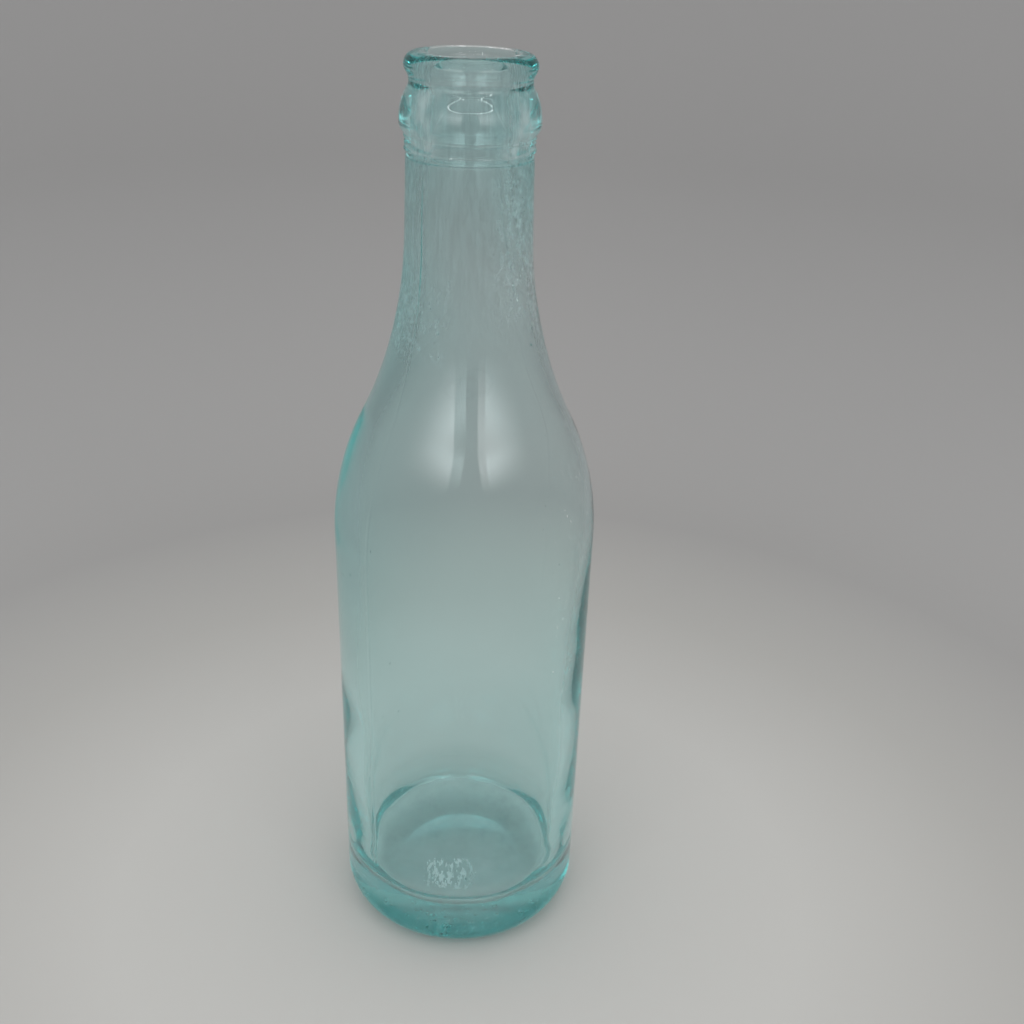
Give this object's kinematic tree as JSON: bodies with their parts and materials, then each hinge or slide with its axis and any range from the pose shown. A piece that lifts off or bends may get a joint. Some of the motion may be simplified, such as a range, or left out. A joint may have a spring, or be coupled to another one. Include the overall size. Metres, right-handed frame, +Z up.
{
  "type": "glass soda bottle",
  "caption": "Slender round bottle of pale aqua glass with a long ogee shoulder, straight neck and crown-cap finish; holds and pours a fizzy drink.",
  "frame": {"origin": "on the bottle's axis, in the plane of the ring that it stands on", "axes": "+Z up along the bottle's axis towards the mouth; X and Y lie in the base plane, and the bottle is round about Z"},
  "size_m": [0.0597, 0.0596, 0.2083],
  "materials": {
    "aqua_glass": "clear pale aqua soda-lime glass, moulded, slightly wavy, with a few seeds and a light haze inside the neck"
  },
  "bodies": {
    "root": {"bottle": "aqua_glass"}
  },
  "joints": []
}
